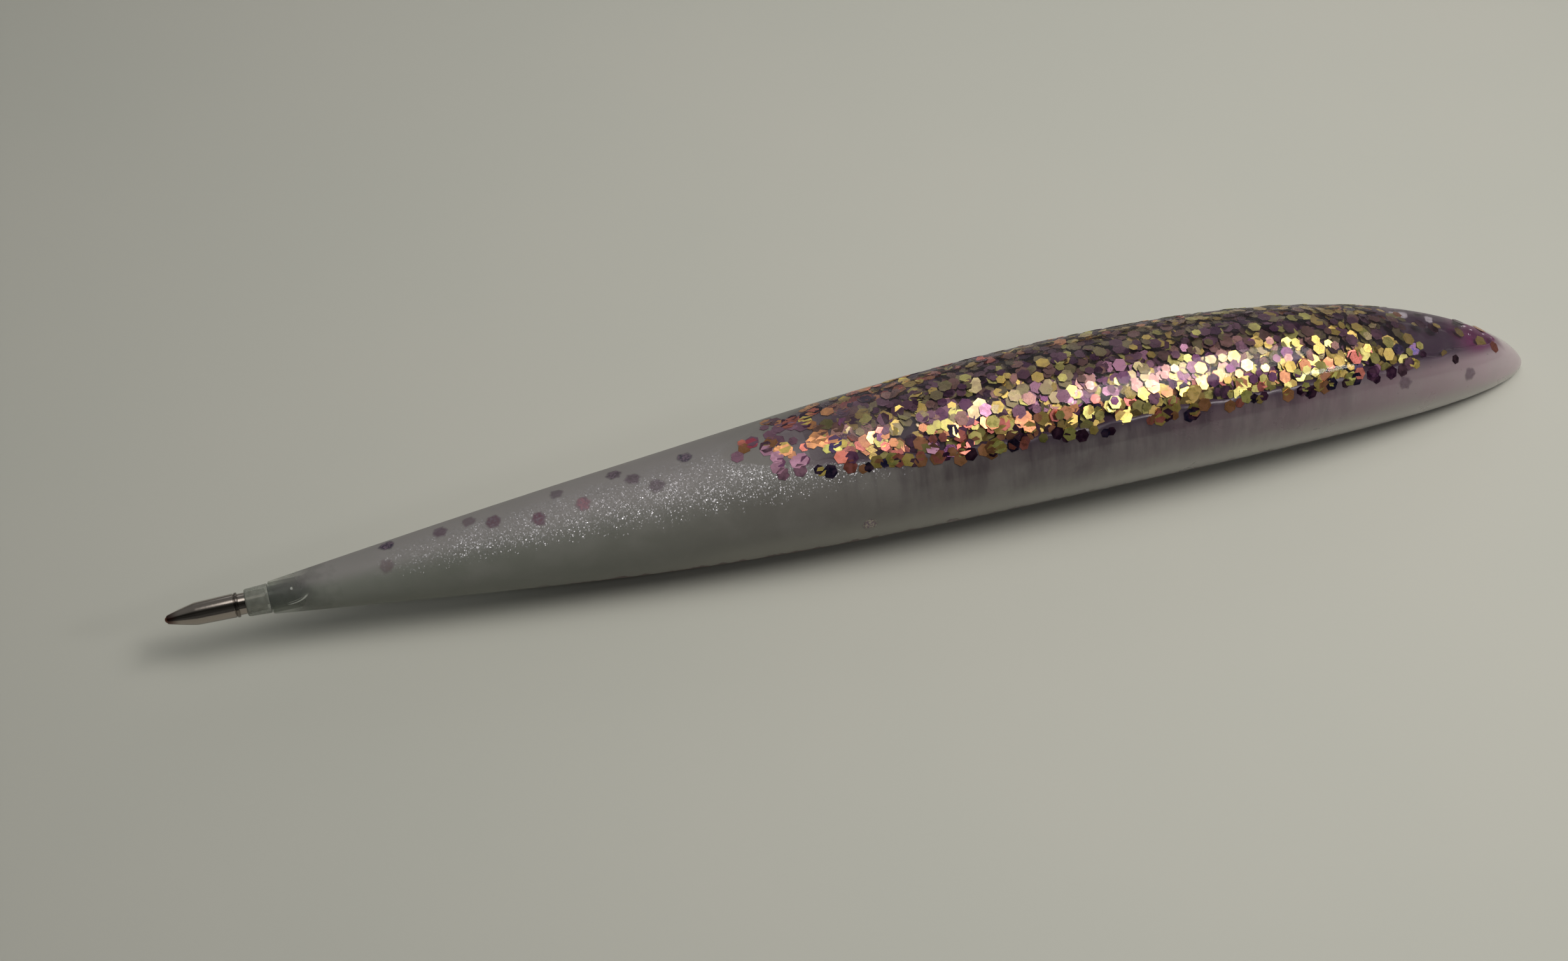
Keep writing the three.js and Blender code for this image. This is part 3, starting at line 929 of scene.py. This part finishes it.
def mica_leaves(m, along, around, edge, place):
    """Tiny bright leaves, each with its own tilt, and how much of them shows."""
    cells = m.node("TexVoronoi", feature="F1")
    m.put(cells.inputs["Vector"], place)
    cells.inputs["Scale"].default_value = 9500.0
    tilt = m.vector_math("SUBTRACT", cells.outputs["Color"], (0.5, 0.5, 0.5))
    scaled = m.vector_math("MULTIPLY", tilt, (0.7, 0.7, 0.7))
    leaning = m.vector_math("ADD", m.node("NewGeometry").outputs["Normal"], scaled)
    facing = m.vector_math("NORMALIZE", leaning)
    mica = m.shader("BsdfAnisotropic", Color=srgb(226, 224, 232), Roughness=0.2, Normal=facing)
    lot = m.node("SeparateColor")
    m.put(lot.inputs[0], cells.outputs["Color"])
    sparse = m.spread(lot.outputs[2], 0.84, 0.92, 0.08, 0.28)
    drift = m.spread(m.noise(place, 420.0, 3.0), 0.34, 0.66, 0.55, 1.0)
    band = m.times(m.spread(around, 28, 56), m.spread(around, 112, 92))
    ends = m.times(m.spread(along, 84, 64), m.spread(along, 18, 30))
    return mica, m.times(sparse, ends, m.spread(edge, -0.4, 0.3), band, drift)


def pearl_material(*pieces):
    m = Material("pearl_resin")
    along = m.attribute("along")
    around = m.attribute("around")
    edge = m.attribute("edge")
    place = m.place()
    clouds = m.noise(place, 170.0, 5.0, 0.6, 0.4)
    smoke = m.noise(place, 900.0, 3.0)
    hollow = m.spread(edge, 0.25, -0.2)
    inked, rim = nose_marks(m, along, around, smoke)

    base = milky_tones(m, along, around, clouds)
    base = glitter_stains(m, base, along, around, edge, hollow)
    base = m.blend(m.times(inked, 0.35), base, srgb(58, 64, 66))
    # painted highlight: the bright crescent rim at the nose, with the bright dot
    base = m.blend(m.times(rim, 0.7), base, srgb(196, 198, 190))
    base = low_band_and_tail_nicks(m, base, along, around)

    bare = m.math("MAXIMUM", m.spread(edge, 0.2, 0.9), m.spread(along, 126, 130))
    gloss = m.times(m.spread(along, 62, 100), bare, 0.9)
    rough = m.plus(m.spread(along, 50, 104, 0.5, 0.3), m.spread(clouds, 0.3, 0.7, -0.04, 0.06))
    rough = m.math("MAXIMUM", rough, m.times(hollow, 0.7))
    waves = m.bump(m.noise(place, 260.0, 2.0), 0.25, 0.0001)
    body = m.shader(
        "BsdfPrincipled", Base_Color=base, Roughness=rough,
        Normal=m.bump(m.noise(place, 6500.0, 2.0), 0.12, 0.00003, waves),
        Coat_Weight=gloss, Coat_Roughness=0.06, Coat_IOR=1.5,
        Subsurface_Weight=0.25, Subsurface_Radius=(0.0012, 0.0011, 0.0011), Subsurface_Scale=1.0,
    )
    mica, share = mica_leaves(m, along, around, edge, place)
    mixed = m.mix_shaders(share, body, mica)
    # the thin nose is nearly clear, and clouds over as the wall thickens
    clear = m.shader("BsdfTransparent", Color=(0.93, 0.94, 0.92, 1.0))
    veil = m.plus(m.spread(along, 10.8, NOSE_CLOUDED_ALONG, 0.2, 1.0), m.spread(smoke, 0.3, 0.7, -0.08, 0.08))
    veil = m.math("MAXIMUM", m.math("MAXIMUM", veil, rim), m.math("GREATER_THAN", along, NOSE_CLOUDED_ALONG))
    m.finish(m.mix_shaders(veil, clear, mixed), *pieces)


def bed_material(*pieces):
    m = Material("glitter_bed_resin")
    place = m.place()
    along = m.attribute("along")
    clouds = m.noise(place, 420.0, 4.0, 0.6, 0.8)
    colour = m.ramp(clouds, [
        (0.3, srgb(30, 14, 30)), (0.5, srgb(56, 22, 50)), (0.64, srgb(84, 30, 74)), (0.8, srgb(52, 32, 60)),
    ])
    around = m.attribute("around")
    swirl = m.plus(m.times(along, 0.8), m.times(around, 0.03))
    swirls = m.noise(m.stretched(swirl, m.times(around, 0.01)), 1.0, 3.0, 0.6)
    milk = m.times(m.spread(along, 128, 137), m.spread(swirls, 0.44, 0.6))
    colour = m.blend(m.spread(along, 126, 136, 0.0, 0.7), colour, srgb(86, 22, 70))
    colour = m.blend(m.times(milk, 0.7), colour, srgb(140, 112, 132))
    colour = m.blend(m.spread(along, 140, 142, 0.0, 0.95), colour, srgb(110, 8, 78))
    colour = m.blend(m.spread(along, 74, 60, 0.0, 0.85), colour, srgb(92, 74, 86))
    grain = m.noise(place, 2600.0, 2.0)
    shader = m.shader(
        "BsdfPrincipled", Base_Color=colour, Roughness=m.spread(clouds, 0.3, 0.7, 0.25, 0.4),
        Normal=m.bump(grain, 0.3, 0.00005),
    )
    m.finish(shader, *pieces)


def flake_material(*pieces):
    m = Material("glitter_flake_film")
    tint = m.attribute("tint", "Color")
    place = m.place()
    worn = m.noise(place, 1500.0, 3.0)
    colour = m.blend(m.spread(worn, 0.35, 0.7, 0.0, 0.3), tint, srgb(120, 84, 96))
    shader = m.shader(
        "BsdfPrincipled", Base_Color=colour, Metallic=0.92,
        Roughness=m.spread(worn, 0.3, 0.7, 0.22, 0.36),
        Normal=m.bump(m.noise(place, 900.0, 2.0), 0.25, 0.00004),
    )
    m.finish(shader, *pieces)


def skin_material(*pieces):
    m = Material("clear_resin_skin")
    waves = m.noise(m.place(), 240.0, 2.0)
    normal = m.bump(waves, 0.2, 0.00008)
    clear = m.shader("BsdfTransparent", Color=(0.97, 0.95, 0.97, 1.0))
    gloss = m.shader("BsdfAnisotropic", Color=(1, 1, 1, 1), Roughness=0.06, Normal=normal)
    fresnel = m.node("Fresnel")
    fresnel.inputs["IOR"].default_value = 1.45
    m.put(fresnel.inputs["Normal"], normal)
    outer_only = m.minus(1.0, m.node("NewGeometry").outputs["Backfacing"])
    # milk that strayed into the clear resin, thickest at the front end
    cloud = m.noise(m.place(), 500.0, 3.0)
    along = m.attribute("along")
    edge = m.attribute("edge")
    tone = m.blend(m.spread(cloud, 0.35, 0.65, 0.0, 0.4), srgb(96, 78, 90), srgb(134, 124, 126))
    milk = m.shader("BsdfPrincipled", Base_Color=tone, Roughness=0.42)
    haze = m.plus(m.spread(along, 61, 80, 0.4, 0.0), m.spread(cloud, 0.3, 0.7, 0.0, 0.07))
    weight = m.node("LayerWeight")
    weight.inputs["Blend"].default_value = 0.12
    haze = m.plus(haze, m.times(weight.outputs["Facing"], 0.5))
    hazy = m.mix_shaders(m.times(haze, outer_only), clear, milk)
    glossy = m.times(fresnel.outputs[0], outer_only, m.spread(edge, 0.1, -0.6), 0.32)
    m.finish(m.mix_shaders(glossy, hazy, gloss), *pieces)


# Each drifted flake's colour, and how strongly it shows through the milk.
DRIFTED_LOOKS = [
    (srgb(50, 38, 66), 0.75), (srgb(124, 92, 98), 0.3), (srgb(92, 62, 84), 0.5),
    (srgb(104, 74, 88), 0.4), (srgb(104, 66, 84), 0.55), (srgb(110, 62, 84), 0.6),
    (srgb(80, 68, 78), 0.45), (srgb(164, 110, 124), 0.55), (srgb(70, 58, 70), 0.65),
    (srgb(84, 66, 78), 0.5), (srgb(88, 70, 82), 0.45), (srgb(50, 48, 66), 0.7),
    (srgb(176, 170, 152), 0.85), (srgb(160, 150, 140), 0.6), (srgb(88, 64, 80), 0.45),
    (srgb(84, 62, 78), 0.45),
]


def drifted_material(name, colour, strength, *pieces):
    m = Material(name)
    rim = m.attribute("rim")
    place = m.place()
    uneven = m.plus(rim, m.spread(m.noise(place, 1300.0, 2.0), 0.3, 0.7, -0.1, 0.1))
    cover = m.spread(uneven, 0.9, 0.5, 0.0, strength)
    tone = m.blend(m.spread(m.noise(place, 3800.0, 2.0), 0.35, 0.65), colour, srgb(120, 100, 116))
    film = m.shader("BsdfPrincipled", Base_Color=tone, Roughness=0.42, Metallic=0.1)
    clear = m.shader("BsdfTransparent", Color=(1, 1, 1, 1))
    m.finish(m.mix_shaders(cover, clear, film), *pieces)


def nib_material(*pieces):
    m = Material("nib_nickel")
    place = m.place()
    x, y, z = m.split(place)
    turn = m.math("ARCTAN2", m.minus(z, REFILL_HEIGHT), m.times(y, -1.0))
    # painted reflection: dark bands along the nib, four round it, for dark surroundings mirrored in the metal
    mirrored_band = m.math("COSINE", m.plus(m.times(turn, 4.0), 2.6))
    drawn = m.noise(m.stretched(m.times(x, 90.0), m.times(turn, 7.0)), 1.0, 3.0)
    dark = m.times(m.spread(mirrored_band, 0.35, 0.95), m.spread(drawn, 0.25, 0.6, 0.6, 1.0))
    colour = m.blend(m.times(dark, 0.88), srgb(170, 160, 152), srgb(30, 28, 18))
    front = m.spread(x, POINT_X + 1.6 * MM, POINT_X + 0.3 * MM)
    colour = m.blend(m.times(front, 0.85), colour, srgb(72, 30, 22))
    lip_start = m.spread(x, NIB_LIP_X - 0.5 * MM, NIB_LIP_X - 0.3 * MM)
    lip_end = m.spread(x, NIB_LIP_X + 0.1 * MM, NIB_LIP_X)
    colour = m.blend(m.times(lip_start, lip_end, 0.5), colour, srgb(40, 32, 26))
    specks = m.noise(place, 5200.0, 2.0)
    shader = m.shader(
        "BsdfPrincipled", Base_Color=colour, Metallic=0.95,
        Roughness=m.spread(drawn, 0.2, 0.8, 0.1, 0.2), Normal=m.bump(specks, 0.1, 0.00002),
    )
    m.finish(shader, *pieces)


def ball_material(*pieces):
    m = Material("inked_ball")
    place = m.place()
    ink = m.noise(place, 2600.0, 3.0)
    shader = m.shader(
        "BsdfPrincipled", Base_Color=m.ramp(ink, [(0.35, srgb(60, 26, 20)), (0.65, srgb(120, 66, 52))]),
        Metallic=0.6, Roughness=m.spread(ink, 0.3, 0.7, 0.12, 0.3),
    )
    m.finish(shader, *pieces)


def plastic_material(name, tint, cover, inked_from, *pieces):
    """Clear or cloudy plastic: a thin veil of its own tint over what shows through, and gloss."""
    m = Material(name)
    place = m.place()
    haze = m.noise(place, 1600.0, 3.0)
    normal = m.bump(m.noise(place, 700.0, 2.0), 0.2, 0.00003)
    colour = m.blend(m.spread(haze, 0.3, 0.7, 0.0, 0.3), tint, srgb(184, 186, 178))
    inked = 0.0
    if inked_from is not None:
        inked = m.spread(m.split(place)[0], inked_from, inked_from + 0.1 * MM)
        colour = m.blend(inked, colour, m.ramp(haze, [(0.3, srgb(24, 26, 30)), (0.7, srgb(44, 47, 50))]))
    veil = m.shader("BsdfPrincipled", Base_Color=colour, Roughness=0.18, Normal=normal)
    clear = m.shader("BsdfTransparent", Color=(0.95, 0.96, 0.95, 1.0))
    weight = m.node("LayerWeight")
    weight.inputs["Blend"].default_value = 0.35
    m.put(weight.inputs["Normal"], normal)
    share = m.spread(haze, 0.3, 0.7, cover * 0.93, cover * 1.07)
    share = m.plus(share, m.times(weight.outputs["Facing"], 0.45))
    share = m.math("MINIMUM", m.plus(share, m.times(inked, 0.6)), 1.0)
    m.finish(m.mix_shaders(share, clear, veil), *pieces)


def ink_material(*pieces):
    m = Material("gel_ink")
    clots = m.noise(m.place(), 800.0, 3.0)
    shader = m.shader(
        "BsdfPrincipled", Base_Color=m.ramp(clots, [(0.35, srgb(14, 15, 20)), (0.7, srgb(40, 43, 50))]),
        Roughness=m.spread(clots, 0.3, 0.7, 0.12, 0.3), Normal=m.bump(clots, 0.2, 0.00004),
    )
    m.finish(shader, *pieces)


def grease_material(*pieces):
    m = Material("follower_grease")
    cloud = m.noise(m.place(), 900.0, 3.0)
    shader = m.shader(
        "BsdfPrincipled", Base_Color=m.ramp(cloud, [(0.3, srgb(206, 194, 150)), (0.7, srgb(226, 218, 186))]),
        Roughness=0.2, Subsurface_Weight=0.4, Subsurface_Radius=(0.001, 0.0009, 0.0006),
    )
    m.finish(shader, *pieces)


# ---------------------------------------------------------------- build

body = pearl_body()
bed = patch("glitter_bed", bed_depth, BED_THICKNESS, 0.0, 150, 90, replaced=["glitter_casting"])
skin = patch("clear_skin", skin_depth, SKIN_THICKNESS, SKIN_MARGIN, 190, 170)
flakes = scatter_flakes()
drifted = [drifted_flake(n) for n in range(1, 17)]
nib = nib_housing()
ball = writing_ball()
collar = tip_holder()
tube = ink_tube()
ink = gel_ink()
grease = follower_grease()

pearl_material(body)
bed_material(bed)
skin_material(skin)
flake_material(*flakes)
nib_material(nib)
ball_material(ball)
plastic_material("cloudy_collar", srgb(138, 140, 130), 0.42, TUBE_LOW.x - 0.1 * MM, collar)
plastic_material("clear_tube", srgb(176, 180, 174), 0.1, None, tube)
ink_material(ink)
grease_material(grease)
for spot, (colour, strength) in zip(drifted, DRIFTED_LOOKS):
    drifted_material(spot.name, colour, strength, spot)

# ---------------------------------------------------------------- stage

CAMERA_AZIMUTH = -15.66
CAMERA_ELEVATION = 50
CAMERA_DISTANCE = 0.25
CAMERA_AIM = Vector((-0.01035, 0.00176, 0.0051))
CAMERA_LENS = 54.95
NEUTRAL, WARM, WARMER, COOL = (1.0, 1.0, 1.0), (1.0, 0.985, 0.95), (1.0, 0.975, 0.93), (0.98, 0.99, 1.0)
SKY_SIDE = (0.2, 0.55, 0.8)  # the direction that the room is brightest in


def floor():
    mesh = bpy.data.meshes.new("floor")
    half, steps = 0.9, 24  # metres from the middle to a side, and squares to a side
    line = np.linspace(-half, half, steps + 1)
    points = [(x, y, 0.0) for y in line for x in line]
    faces = []
    for i in range(steps):
        for j in range(steps):
            a = i * (steps + 1) + j
            faces.append((a, a + 1, a + steps + 2, a + steps + 1))
    mesh.from_pydata(points, [], faces)
    made = bpy.data.objects.new("floor", mesh)
    bpy.context.scene.collection.objects.link(made)
    m = Material("pale_floor")
    place = m.place()
    mottle = m.noise(place, 24.0, 4.0)
    grain = m.noise(place, 1400.0, 2.0)
    colour = m.blend(m.spread(mottle, 0.3, 0.7), srgb(187, 187, 178), srgb(189, 188, 179))
    shader = m.shader("BsdfPrincipled", Base_Color=colour, Roughness=0.75, Normal=m.bump(grain, 0.08, 0.0001))
    m.finish(shader, made)


def area_light(name, place, aim, size, watts, colour=NEUTRAL, spread_degrees=180):
    light = bpy.data.lights.new(name, "AREA")
    light.shape = "ELLIPSE"
    light.size, light.size_y = size
    light.energy = watts
    light.color = colour
    light.spread = math.radians(spread_degrees)
    made = bpy.data.objects.new(name, light)
    made.location = place
    made.rotation_mode = "QUATERNION"
    made.rotation_quaternion = (Vector(aim) - Vector(place)).to_track_quat("-Z", "Y")
    bpy.context.scene.collection.objects.link(made)


def lights():
    area_light("overhead_softbox", (0.02, 0.04, 0.42), (0.02, 0.01, 0.0), (0.3, 0.3), 0.06, WARM, 70)
    area_light("side_softbox", (0.25, -0.08, 0.42), (0.05, 0.0, 0.0), (0.34, 0.22), 0.3, WARMER, 75)
    area_light("back_panel", (0.12, 0.38, 0.2), (0.05, 0.0, 0.01), (0.5, 0.26), 0.13, COOL)
    area_light("low_lamp", (0.38, -0.26, 0.28), (0.06, 0.0, 0.0), (0.09, 0.05), 0.22)


def room():
    """A dim room, brighter towards one side."""
    world = bpy.data.worlds.new("room")
    world.use_nodes = True
    nodes = world.node_tree.nodes
    links = world.node_tree.links
    toward = nodes.new("ShaderNodeVectorMath")
    toward.operation = "DOT_PRODUCT"
    toward.inputs[1].default_value = SKY_SIDE
    shade = nodes.new("ShaderNodeValToRGB")
    links.new(nodes.new("ShaderNodeTexCoord").outputs["Generated"], toward.inputs[0])
    links.new(toward.outputs["Value"], shade.inputs[0])
    links.new(shade.outputs[0], nodes["Background"].inputs["Color"])
    dim, bright = shade.color_ramp.elements
    dim.position = 0.0
    dim.color = (0.05, 0.052, 0.05, 1)
    bright.position = 0.8
    bright.color = (0.17, 0.175, 0.17, 1)
    bpy.context.scene.world = world
    bpy.context.scene.view_settings.view_transform = "Standard"


def camera():
    made = bpy.data.objects.new("camera", bpy.data.cameras.new("camera"))
    bpy.context.scene.collection.objects.link(made)
    turn, rise = math.radians(CAMERA_AZIMUTH), math.radians(CAMERA_ELEVATION)
    back = Vector((math.sin(turn) * math.cos(rise), -math.cos(turn) * math.cos(rise), math.sin(rise)))
    made.location = CAMERA_AIM + CAMERA_DISTANCE * back
    made.rotation_mode = "QUATERNION"
    made.rotation_quaternion = (-back).to_track_quat("-Z", "Y")
    made.data.sensor_width = 36
    made.data.lens = CAMERA_LENS
    made.data.clip_start = 0.005
    bpy.context.scene.camera = made


floor()
lights()
room()
camera()
